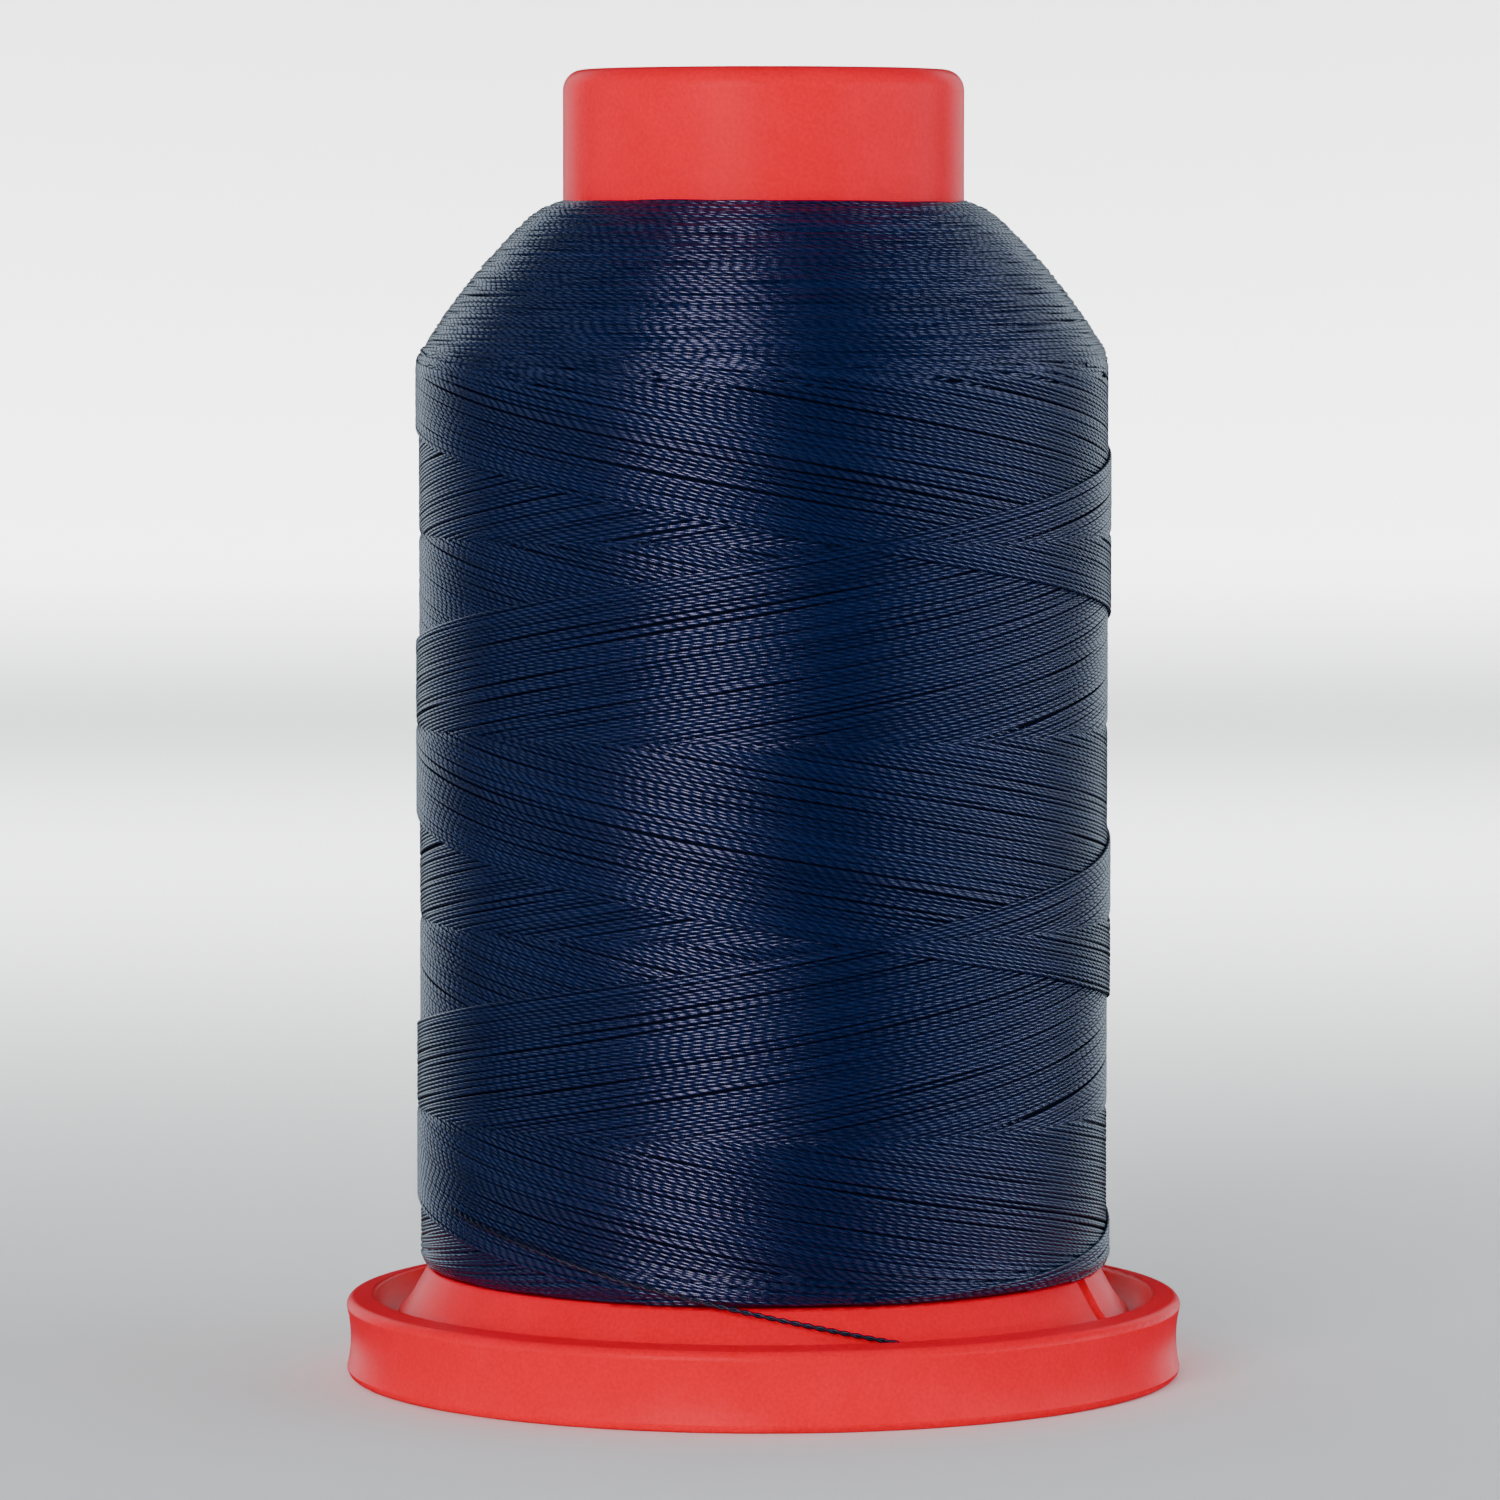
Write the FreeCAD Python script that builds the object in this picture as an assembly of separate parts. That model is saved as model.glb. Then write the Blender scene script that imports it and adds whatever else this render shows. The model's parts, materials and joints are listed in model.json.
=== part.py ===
import FreeCAD, Part
import math
import os

# Spool of embroidery thread on a snap-foot spool. Millimetres, +Z up.
# The origin is the centre of the foot, on the surface the spool stands on.

# ---- snap foot: a dished ring the spool stands on ----
FOOT_R_BASE = 22.36        # widest radius near the floor
FOOT_R_WAIST = 22.17       # narrowest radius of the hollow outer side
FOOT_R_LIP = 22.38         # widest radius under the lip
FOOT_Z_WAIST = 2.10
FOOT_Z_LIP = 3.75          # height of the widest part of the lip
FOOT_EDGE_ROUND = 0.45     # rounding along the floor edge
LIP_Z_OUTER = 4.25         # lip height where its outer rounding ends
LIP_Z_CREST = 4.40         # lip height at its inner crest
LIP_R_OUTER = 21.90
LIP_R_CREST = 21.05
CHANNEL_R_OUTER = 20.85    # inner edge of the lip; the wall slopes inward from here
CHANNEL_R_FLOOR = 19.95    # foot of the sloping wall
WEB_Z_BOTTOM = 1.10
WEB_Z_TOP = 2.35           # floor of the channel
RECESS_R = 20.60           # hollow under the web

# ---- hub of the foot: a sleeve with snap fingers inside the core tube ----
HUB_R_OUTER = 8.20
HUB_R_INNER = 7.10
HUB_Z_TOP = 13.90
HOOK_R = 8.68              # reach of the hooks at the finger tips
HOOK_Z = 12.60             # underside of the hooks
FINGER_SLOT_WIDTH = 1.60
FINGER_SLOT_Z = 5.00       # the slots between the fingers start here
FINGER_COUNT = 4

# ---- core: collar, tube and flange in one moulding ----
COLLAR_R = 10.69
COLLAR_Z_TOP = 69.75
COLLAR_Z_BOTTOM = 62.00
COLLAR_ROUND = 1.10
TUBE_R = 9.90
TUBE_BORE_R = 8.90
LEDGE_R = 8.43             # stop ledge inside the tube, under the hooks
LEDGE_Z_BOTTOM = 8.00
LEDGE_Z_TOP = 9.00
FLANGE_Z_TOP = 5.85        # the thread package stands on this face
FLANGE_PLATE = 1.20
FLANGE_R_TOP = 17.78       # edge of the flat top face
SKIRT_R_HIGH = 18.06       # the skirt slopes down and outward from here
SKIRT_Z_HIGH = 5.70
SKIRT_R_LOW = 18.80        # below this it flares out to the rim
SKIRT_Z_LOW = 4.40
FLANGE_R = 19.62           # side of the rim
RIM_WALL = 1.00
RIM_Z_BOTTOM = 2.75        # leaves a slot for the thread above the channel floor
SLEEVE_BORE_R = 4.20       # guides the spool pin
SLEEVE_R = 5.30
SLEEVE_Z_BOTTOM = 48.00
SLEEVE_Z_TOP = 69.20
RIB_THICKNESS = 1.10
RIB_COUNT = 4
NOTCH_AZIMUTH = -21.5      # thread notch down the skirt, degrees from +X
NOTCH_ROUND = 0.65         # radius of its hollow
NOTCH_DEPTH = 0.45

# ---- wound thread ----
PACKAGE_R = 18.48
PACKAGE_Z_BOTTOM = 5.86
PACKAGE_CORNER = 0.75
PACKAGE_BORE_R = 9.93
PACKAGE_Z_SHOULDER = 53.55  # the straight side ends here
SHOULDER_MID_R = 15.80
SHOULDER_MID_Z = 58.40
SHOULDER_TOP_R = 12.75
SHOULDER_TOP_Z = 61.72
PACKAGE_Z_TOP = 62.85       # height at the collar
PACKAGE_TOP_R = 10.74       # the thread stops this close to the collar

# ---- paper ring label under the foot ----
LABEL_R_OUTER = 19.60
LABEL_R_INNER = 9.20
LABEL_THICKNESS = 0.14

# ---- free thread end ----
TAIL_DIAMETER = 0.30
# Corner points of the thread's way: azimuth in degrees, radius, height.
TAIL_ROUTE = [
    (-156.0, 18.30, 10.05),
    (-149.0, 18.84, 9.70),
    (-132.0, 18.95, 8.70),
    (-115.0, 18.95, 7.30),
    (-99.0, 18.93, 6.20),
    (-83.0, 19.05, 5.05),
    (-67.5, 19.72, 3.95),
    (-55.0, 20.00, 3.20),
    (-42.0, 19.95, 3.05),
    (-31.0, 19.92, 3.05),
]


def point(radius, height):
    return FreeCAD.Vector(radius, 0.0, height)


def line(start, end):
    return Part.LineSegment(start, end).toShape()


def arc(start, middle, end):
    return Part.Arc(start, middle, end).toShape()


def turned(edges):
    """Closed half section turned once round the spool axis."""
    face = Part.Face(Part.Wire(edges))
    axis = FreeCAD.Vector(0.0, 0.0, 1.0)
    return face.revolve(FreeCAD.Vector(0.0, 0.0, 0.0), axis, 360.0)


def corner(centre_r, centre_z, radius, degrees):
    angle = math.radians(degrees)
    return point(centre_r + radius * math.cos(angle), centre_z + radius * math.sin(angle))


def foot_ring():
    """Outer ring, web and hub sleeve of the foot as one turned moulding."""
    edge_r = FOOT_R_BASE - FOOT_EDGE_ROUND
    floor_out = point(edge_r, 0.0)
    floor_mid = corner(edge_r, FOOT_EDGE_ROUND, FOOT_EDGE_ROUND, -45.0)
    side_low = point(FOOT_R_BASE, FOOT_EDGE_ROUND)
    waist = point(FOOT_R_WAIST, FOOT_Z_WAIST)
    side_high = point(FOOT_R_LIP, FOOT_Z_LIP)
    lip_mid = point(22.25, 4.08)
    lip_out = point(LIP_R_OUTER, LIP_Z_OUTER)
    crest = point(LIP_R_CREST, LIP_Z_CREST)
    crest_mid = point(20.91, 4.34)
    wall_top = point(CHANNEL_R_OUTER, 4.20)
    wall_mid = point(20.53, 3.35)
    wall_low = point(CHANNEL_R_FLOOR, WEB_Z_TOP + 0.27)
    floor_start = point(CHANNEL_R_FLOOR - 0.35, WEB_Z_TOP)
    hub_root = point(HUB_R_OUTER, WEB_Z_TOP)
    hub_out = point(HUB_R_OUTER, HUB_Z_TOP)
    hub_in = point(HUB_R_INNER, HUB_Z_TOP)
    hub_low = point(HUB_R_INNER, WEB_Z_BOTTOM)
    web_low = point(RECESS_R, WEB_Z_BOTTOM)
    recess_low = point(RECESS_R, 0.30)
    recess_mid = corner(RECESS_R + 0.30, 0.30, 0.30, -135.0)
    floor_in = point(RECESS_R + 0.30, 0.0)
    edges = [
        arc(floor_out, floor_mid, side_low),
        arc(side_low, waist, side_high),
        arc(side_high, lip_mid, lip_out),
        line(lip_out, crest),
        arc(crest, crest_mid, wall_top),
        arc(wall_top, wall_mid, wall_low),
        line(wall_low, floor_start),
        line(floor_start, hub_root),
        line(hub_root, hub_out),
        line(hub_out, hub_in),
        line(hub_in, hub_low),
        line(hub_low, web_low),
        line(web_low, recess_low),
        arc(recess_low, recess_mid, floor_in),
        line(floor_in, floor_out),
    ]
    return turned(edges)


def hooks():
    """Hook ring round the top of the hub, flat below and sloping above."""
    edges = [
        line(point(HUB_R_INNER + 0.2, HOOK_Z), point(HOOK_R, HOOK_Z)),
        line(point(HOOK_R, HOOK_Z), point(HOOK_R, HOOK_Z + 0.35)),
        line(point(HOOK_R, HOOK_Z + 0.35), point(HUB_R_OUTER - 0.1, HUB_Z_TOP)),
        line(point(HUB_R_OUTER - 0.1, HUB_Z_TOP), point(HUB_R_INNER + 0.2, HUB_Z_TOP)),
        line(point(HUB_R_INNER + 0.2, HUB_Z_TOP), point(HUB_R_INNER + 0.2, HOOK_Z)),
    ]
    return turned(edges)


def finger_slots():
    """Bars that cut the hub into snap fingers."""
    bars = []
    reach = HOOK_R + 0.5
    height = HUB_Z_TOP - FINGER_SLOT_Z + 1.0
    for index in range(FINGER_COUNT):
        bar = Part.makeBox(reach, FINGER_SLOT_WIDTH, height)
        bar.translate(FreeCAD.Vector(0.0, -FINGER_SLOT_WIDTH / 2.0, FINGER_SLOT_Z))
        turn = 360.0 / FINGER_COUNT * index
        bar.rotate(FreeCAD.Vector(0, 0, 0), FreeCAD.Vector(0, 0, 1), turn)
        bars.append(bar)
    return bars


def snap_foot():
    solid = foot_ring().fuse(hooks())
    for bar in finger_slots():
        solid = solid.cut(bar)
    return solid.removeSplitter()


def core_shell():
    """Collar, tube, stop ledge and flange with its sloping skirt."""
    round_r = COLLAR_R - COLLAR_ROUND
    round_z = COLLAR_Z_TOP - COLLAR_ROUND
    inner_round = 0.40
    plate_low = FLANGE_Z_TOP - FLANGE_PLATE
    top_in = point(TUBE_BORE_R + inner_round, COLLAR_Z_TOP)
    top_out = point(round_r, COLLAR_Z_TOP)
    collar_side = point(COLLAR_R, round_z)
    collar_low = point(COLLAR_R, COLLAR_Z_BOTTOM)
    tube_high = point(TUBE_R, COLLAR_Z_BOTTOM)
    tube_low = point(TUBE_R, FLANGE_Z_TOP)
    face_edge = point(FLANGE_R_TOP, FLANGE_Z_TOP)
    skirt_round = point(17.95, 5.82)
    skirt_high = point(SKIRT_R_HIGH, SKIRT_Z_HIGH)
    skirt_low = point(SKIRT_R_LOW, SKIRT_Z_LOW)
    flare_mid = point(19.10, 3.96)
    flare_low = point(19.47, 3.58)
    rim_side_mid = point(19.58, 3.43)
    rim_side = point(FLANGE_R, 3.25)
    rim_low = point(FLANGE_R, RIM_Z_BOTTOM + 0.30)
    rim_low_mid = corner(FLANGE_R - 0.30, RIM_Z_BOTTOM + 0.30, 0.30, -45.0)
    rim_foot = point(FLANGE_R - 0.30, RIM_Z_BOTTOM)
    rim_foot_in = point(FLANGE_R - RIM_WALL, RIM_Z_BOTTOM)
    inner_top = point(17.45, plate_low)
    tube_end = point(TUBE_BORE_R, plate_low)
    bore_low = point(TUBE_BORE_R, LEDGE_Z_BOTTOM)
    ledge_low = point(LEDGE_R, LEDGE_Z_BOTTOM + 0.40)
    ledge_top = point(LEDGE_R, LEDGE_Z_TOP)
    bore_mid = point(TUBE_BORE_R, LEDGE_Z_TOP)
    bore_top = point(TUBE_BORE_R, COLLAR_Z_TOP - inner_round)
    in_mid = corner(TUBE_BORE_R + inner_round, COLLAR_Z_TOP - inner_round, inner_round, 135.0)
    edges = [
        arc(top_in, in_mid, bore_top),
        line(bore_top, bore_mid),
        line(bore_mid, ledge_top),
        line(ledge_top, ledge_low),
        line(ledge_low, bore_low),
        line(bore_low, tube_end),
        line(tube_end, inner_top),
        line(inner_top, rim_foot_in),
        line(rim_foot_in, rim_foot),
        arc(rim_foot, rim_low_mid, rim_low),
        line(rim_low, rim_side),
        arc(rim_side, rim_side_mid, flare_low),
        arc(flare_low, flare_mid, skirt_low),
        line(skirt_low, skirt_high),
        arc(skirt_high, skirt_round, face_edge),
        line(face_edge, tube_low),
        line(tube_low, tube_high),
        line(tube_high, collar_low),
        line(collar_low, collar_side),
        arc(collar_side, corner(round_r, round_z, COLLAR_ROUND, 45.0), top_out),
        line(top_out, top_in),
    ]
    return turned(edges)


def pin_sleeve():
    """Inner sleeve for the spool pin with its ribs."""
    height = SLEEVE_Z_TOP - SLEEVE_Z_BOTTOM
    base = FreeCAD.Vector(0.0, 0.0, SLEEVE_Z_BOTTOM)
    solid = Part.makeCylinder(SLEEVE_R, height, base)
    for index in range(RIB_COUNT):
        rib = Part.makeBox(TUBE_BORE_R + 0.7, RIB_THICKNESS, height - 1.6)
        rib.translate(FreeCAD.Vector(0.0, -RIB_THICKNESS / 2.0, SLEEVE_Z_BOTTOM))
        turn = 45.0 + 360.0 / RIB_COUNT * index
        rib.rotate(FreeCAD.Vector(0, 0, 0), FreeCAD.Vector(0, 0, 1), turn)
        solid = solid.fuse(rib)
    bore = Part.makeCylinder(SLEEVE_BORE_R, height + 2.0, base - FreeCAD.Vector(0, 0, 1.0))
    return solid.cut(bore)


def thread_notch():
    """Round-bottomed notch down the skirt that catches the thread end."""
    high = point(SKIRT_R_HIGH, SKIRT_Z_HIGH)
    low = point(FLANGE_R, RIM_Z_BOTTOM + 0.45)
    along = (low - high).normalize()
    outward = FreeCAD.Vector(-along.z, 0.0, along.x)
    start = high - along * 1.5 + outward * (NOTCH_ROUND - NOTCH_DEPTH)
    cutter = Part.makeCylinder(NOTCH_ROUND, (low - high).Length + 3.5, start, along)
    cutter.rotate(FreeCAD.Vector(0, 0, 0), FreeCAD.Vector(0, 0, 1), NOTCH_AZIMUTH)
    return cutter


def spool_core():
    solid = core_shell().fuse(pin_sleeve())
    solid = solid.cut(thread_notch())
    return solid.removeSplitter()


def thread_package():
    """Outline of the wound thread: straight side, domed shoulder, rounded foot."""
    low = PACKAGE_R - PACKAGE_CORNER
    bottom_in = point(PACKAGE_BORE_R, PACKAGE_Z_BOTTOM)
    bottom_out = point(low, PACKAGE_Z_BOTTOM)
    side_low = point(PACKAGE_R, PACKAGE_Z_BOTTOM + PACKAGE_CORNER)
    side_mid = corner(low, PACKAGE_Z_BOTTOM + PACKAGE_CORNER, PACKAGE_CORNER, -45.0)
    side_top = point(PACKAGE_R, PACKAGE_Z_SHOULDER)
    edge_mid = point(18.40, 54.40)
    shoulder_low = point(18.05, 55.20)
    shoulder_mid = point(SHOULDER_MID_R, SHOULDER_MID_Z)
    shoulder_top = point(SHOULDER_TOP_R, SHOULDER_TOP_Z)
    round_mid = point(11.85, 62.38)
    top_out = point(PACKAGE_TOP_R, PACKAGE_Z_TOP)
    top_low = point(PACKAGE_TOP_R, COLLAR_Z_BOTTOM - 0.03)
    top_in = point(PACKAGE_BORE_R, COLLAR_Z_BOTTOM - 0.03)
    edges = [
        line(bottom_in, bottom_out),
        arc(bottom_out, side_mid, side_low),
        line(side_low, side_top),
        arc(side_top, edge_mid, shoulder_low),
        arc(shoulder_low, shoulder_mid, shoulder_top),
        arc(shoulder_top, round_mid, top_out),
        line(top_out, top_low),
        line(top_low, top_in),
        line(top_in, bottom_in),
    ]
    return turned(edges)


def base_label():
    top = WEB_Z_BOTTOM
    low = top - LABEL_THICKNESS
    edges = [
        line(point(LABEL_R_INNER, low), point(LABEL_R_OUTER, low)),
        line(point(LABEL_R_OUTER, low), point(LABEL_R_OUTER, top)),
        line(point(LABEL_R_OUTER, top), point(LABEL_R_INNER, top)),
        line(point(LABEL_R_INNER, top), point(LABEL_R_INNER, low)),
    ]
    return turned(edges)


def around(azimuth, radius, height):
    angle = math.radians(azimuth)
    return FreeCAD.Vector(radius * math.cos(angle), radius * math.sin(angle), height)


def tail_wire(points):
    """Straight runs joined by tangent arcs; returns the wire and the bend radii."""
    edges = []
    radii = []
    start = points[0]
    for index in range(1, len(points) - 1):
        here = points[index]
        back = points[index - 1] - here
        ahead = points[index + 1] - here
        shorter = min(back.Length, ahead.Length)
        back_dir = FreeCAD.Vector(back).normalize()
        ahead_dir = FreeCAD.Vector(ahead).normalize()
        turn = math.pi - back_dir.getAngle(ahead_dir)
        radius = 0.45 * shorter / math.tan(turn / 2.0)
        reach = 0.45 * shorter
        arc_start = here + back_dir * reach
        arc_end = here + ahead_dir * reach
        inward = (back_dir + ahead_dir).normalize()
        centre = here + inward * (radius / math.cos(turn / 2.0))
        arc_mid = centre - inward * radius
        edges.append(line(start, arc_start))
        edges.append(arc(arc_start, arc_mid, arc_end))
        radii.append(radius)
        start = arc_end
    edges.append(line(start, points[-1]))
    return Part.Wire(edges), radii


def thread_tail():
    points = [around(azimuth, radius, height) for azimuth, radius, height in TAIL_ROUTE]
    wire, radii = tail_wire(points)
    direction = points[1] - points[0]
    ring = Part.Wire(Part.makeCircle(TAIL_DIAMETER / 2.0, points[0], direction))
    tube = wire.makePipeShell([ring], True, False)
    section = math.pi * TAIL_DIAMETER ** 2 / 4.0
    print("tail length", round(wire.Length, 2), "mm")
    print("tail bend radii", [round(radius, 2) for radius in radii])
    print("tail volume", round(tube.Volume, 4), "expected", round(section * wire.Length, 4))
    return tube


def main():
    os.makedirs("parts", exist_ok=True)
    pieces = {
        "snap_foot": snap_foot(),
        "base_label": base_label(),
        "spool_core": spool_core(),
        "thread_package": thread_package(),
        "thread_tail": thread_tail(),
    }
    for name, shape in pieces.items():
        shape.exportStep("parts/" + name + ".step")
        box = shape.optimalBoundingBox()
        print(name, shape.isValid(), len(shape.Solids), round(shape.Volume, 2),
              round(box.XLength, 2), round(box.YLength, 2), round(box.ZLength, 2))


main()
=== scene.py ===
import json
import math

import bpy
import numpy as np
from mathutils import Vector
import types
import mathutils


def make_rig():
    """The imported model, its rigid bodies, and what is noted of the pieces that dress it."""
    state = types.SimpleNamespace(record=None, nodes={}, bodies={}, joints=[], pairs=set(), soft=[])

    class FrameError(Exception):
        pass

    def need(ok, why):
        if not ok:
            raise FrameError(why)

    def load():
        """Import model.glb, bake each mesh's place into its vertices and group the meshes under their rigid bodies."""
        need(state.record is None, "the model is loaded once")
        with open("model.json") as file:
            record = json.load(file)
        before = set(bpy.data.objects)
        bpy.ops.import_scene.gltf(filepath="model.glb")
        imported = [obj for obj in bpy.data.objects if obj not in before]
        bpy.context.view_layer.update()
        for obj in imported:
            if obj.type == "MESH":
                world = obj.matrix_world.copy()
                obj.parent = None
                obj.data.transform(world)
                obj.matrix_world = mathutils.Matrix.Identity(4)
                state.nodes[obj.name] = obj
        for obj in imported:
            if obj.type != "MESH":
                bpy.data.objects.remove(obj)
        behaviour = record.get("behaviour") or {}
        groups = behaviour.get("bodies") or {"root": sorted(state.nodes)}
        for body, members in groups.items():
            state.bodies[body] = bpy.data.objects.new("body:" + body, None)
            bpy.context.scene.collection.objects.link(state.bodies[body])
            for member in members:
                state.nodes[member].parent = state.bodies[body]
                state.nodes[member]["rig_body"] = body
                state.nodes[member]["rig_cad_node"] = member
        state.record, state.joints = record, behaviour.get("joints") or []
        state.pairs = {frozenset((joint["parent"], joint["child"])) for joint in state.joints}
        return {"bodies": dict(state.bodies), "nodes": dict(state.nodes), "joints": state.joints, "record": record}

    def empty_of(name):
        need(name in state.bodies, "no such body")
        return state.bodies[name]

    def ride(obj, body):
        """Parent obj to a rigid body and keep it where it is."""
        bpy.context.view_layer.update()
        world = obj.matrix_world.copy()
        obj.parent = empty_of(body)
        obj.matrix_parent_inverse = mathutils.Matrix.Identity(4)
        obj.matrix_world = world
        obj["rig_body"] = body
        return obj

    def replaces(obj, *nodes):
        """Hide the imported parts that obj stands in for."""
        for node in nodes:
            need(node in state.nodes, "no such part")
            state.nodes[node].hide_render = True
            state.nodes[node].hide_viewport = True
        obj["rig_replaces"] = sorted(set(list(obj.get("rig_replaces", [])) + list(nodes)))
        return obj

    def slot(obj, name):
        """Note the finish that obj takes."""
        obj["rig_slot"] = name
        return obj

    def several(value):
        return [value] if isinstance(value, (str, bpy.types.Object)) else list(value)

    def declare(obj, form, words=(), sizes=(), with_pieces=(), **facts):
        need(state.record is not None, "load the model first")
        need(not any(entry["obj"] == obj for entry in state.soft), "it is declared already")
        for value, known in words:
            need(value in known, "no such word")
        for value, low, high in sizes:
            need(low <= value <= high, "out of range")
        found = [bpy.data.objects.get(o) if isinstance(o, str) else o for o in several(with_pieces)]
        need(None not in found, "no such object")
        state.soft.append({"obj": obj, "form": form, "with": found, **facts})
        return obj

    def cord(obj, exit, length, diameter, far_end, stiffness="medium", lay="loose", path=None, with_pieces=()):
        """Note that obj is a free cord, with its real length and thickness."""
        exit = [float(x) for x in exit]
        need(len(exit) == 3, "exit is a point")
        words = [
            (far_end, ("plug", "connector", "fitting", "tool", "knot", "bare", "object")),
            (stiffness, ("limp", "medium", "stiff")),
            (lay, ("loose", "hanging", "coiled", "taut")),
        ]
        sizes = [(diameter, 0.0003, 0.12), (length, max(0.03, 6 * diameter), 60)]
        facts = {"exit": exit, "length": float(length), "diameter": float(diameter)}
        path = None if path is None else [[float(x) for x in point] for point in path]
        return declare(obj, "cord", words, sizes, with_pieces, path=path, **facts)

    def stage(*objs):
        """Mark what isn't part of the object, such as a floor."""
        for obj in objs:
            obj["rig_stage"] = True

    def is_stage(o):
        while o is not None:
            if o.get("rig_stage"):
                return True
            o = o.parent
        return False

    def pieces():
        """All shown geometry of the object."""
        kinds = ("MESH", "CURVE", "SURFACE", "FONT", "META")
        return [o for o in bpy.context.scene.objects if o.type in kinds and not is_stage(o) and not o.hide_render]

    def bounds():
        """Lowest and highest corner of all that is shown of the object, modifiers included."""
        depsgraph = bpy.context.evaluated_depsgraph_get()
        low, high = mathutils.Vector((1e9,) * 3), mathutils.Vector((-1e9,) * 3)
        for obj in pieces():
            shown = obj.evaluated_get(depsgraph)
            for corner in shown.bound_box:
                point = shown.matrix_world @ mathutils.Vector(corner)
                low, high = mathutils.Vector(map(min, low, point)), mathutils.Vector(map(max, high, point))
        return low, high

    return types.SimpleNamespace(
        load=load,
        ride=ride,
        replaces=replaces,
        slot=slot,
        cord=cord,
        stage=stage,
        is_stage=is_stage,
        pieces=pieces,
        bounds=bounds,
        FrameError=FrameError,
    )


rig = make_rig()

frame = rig.load()
SIZE_LOADED = [list(corner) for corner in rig.bounds()]

MM = 0.001
RNG = np.random.default_rng(41)

# ---- wound thread, millimetres and radians ----
PACKAGE_R = 18.48          # mean radius of the straight side
LAYER = 0.18               # one full layer of either direction
HALF_WIDTH = 0.104         # of one thread, along the surface
HALF_HEIGHT = 0.090        # of one thread, out of the surface
TURN_K = 0.3065            # turn for each millimetre of height
STROKES = 105              # strokes of each direction in one full round
SPACING = 2.0 * math.pi / STROKES
EDGE_DOWN = -0.05          # phase of the newest stroke that falls to the right
EDGE_UP = 3.70             # phase of the newest stroke that rises to the right
TOP_PEAK = 54.40           # mean height where the strokes turn back
TOP_CROSS = 55.40          # where their straight parts would meet
LOW_PEAK = 6.20
LOW_CROSS = 4.13
TWIST_PITCH = 1.30         # one full turn of the two plies
STRAND_STEP = 0.9          # between the points along a strand
COVER_MARGIN = 0.035       # share of a round that a strand runs on under the ones that cover it
TOP_BAND = 1.3             # every strand is kept this close to its upper turn
LOW_BAND = 1.6             # and this close to its lower one
SIDE_TOP = 55.3            # the straight side and its rounded edge end here
SHOULDER_ARCS = 1100
SHOULDER_START = 54.1      # height where the lowest arcs turn back
ARC_TURN = 2.399963        # between one arc of the shoulder and the next
UNDER_DEPTH = 0.24         # of the dark body below the mean surface
POINTS_PER_PIECE = 15500
# Directions round a strand that carry its surface; the hidden inner side stays open.
SECTION = np.radians([-118.0, -72.0, -36.0, 0.0, 36.0, 72.0, 118.0])

# ---- free thread end: the same corner points as its CAD solid ----
TAIL_DIAMETER = 0.30
# Azimuth in degrees, radius, height.
TAIL_ROUTE = [
    (-156.0, 18.30, 10.05),
    (-149.0, 18.84, 9.70),
    (-132.0, 18.95, 8.70),
    (-115.0, 18.95, 7.30),
    (-99.0, 18.93, 6.20),
    (-83.0, 19.05, 5.05),
    (-67.5, 19.72, 3.95),
    (-55.0, 20.00, 3.20),
    (-42.0, 19.95, 3.05),
    (-31.0, 19.92, 3.05),
]
PLY_OFFSET = 0.066         # of each ply's centre from the thread's
PLY_RADIUS = 0.078
PLY_SIDES = 10

# ---- camera, millimetres and degrees ----
CAMERA_AT = (-0.72, -414.17, 61.15)
CAMERA_PITCH = 3.824       # looks down by this much
CAMERA_LENS = 186.14

# ---- light, metres ----
MIDDLE = (0.0, 0.0, 0.034)  # of the spool; the lights stand round it
WHITE = (1.0, 1.0, 1.0)

# ---- floor and wall, metres ----
FLOOR_R = 1.10
SWEEP_R = 0.35             # rounding between floor and wall
WALL_TOP = 1.30
STAGE_SIDES = 144
OPEN_FROM, OPEN_TO = 88, 128    # the wall is open in front, between these sides


def material(name):
    mat = bpy.data.materials.new(name)
    mat.use_nodes = True
    nodes = mat.node_tree.nodes
    shader = nodes["Principled BSDF"]
    return mat, nodes, mat.node_tree.links, shader


def scalar(nodes, links, operation, first, second=None, third=None):
    """A maths node; its values are numbers or output sockets."""
    node = nodes.new("ShaderNodeMath")
    node.operation = operation
    for index, value in enumerate((first, second, third)):
        if value is None:
            continue
        if isinstance(value, (int, float)):
            node.inputs[index].default_value = value
        else:
            links.new(value, node.inputs[index])
    return node.outputs[0]


def noise(nodes, links, vector, scale, detail=2.0, roughness=0.5):
    node = nodes.new("ShaderNodeTexNoise")
    node.inputs["Scale"].default_value = scale
    node.inputs["Detail"].default_value = detail
    node.inputs["Roughness"].default_value = roughness
    links.new(vector, node.inputs["Vector"])
    return node.outputs["Fac"]


def ramp(nodes, links, value, stops):
    node = nodes.new("ShaderNodeValToRGB")
    ramp_data = node.color_ramp
    while len(ramp_data.elements) < len(stops):
        ramp_data.elements.new(0.5)
    for element, (place, colour) in zip(ramp_data.elements, stops):
        element.position = place
        element.color = (*colour, 1.0)
    links.new(value, node.inputs["Fac"])
    return node.outputs["Color"]


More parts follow.
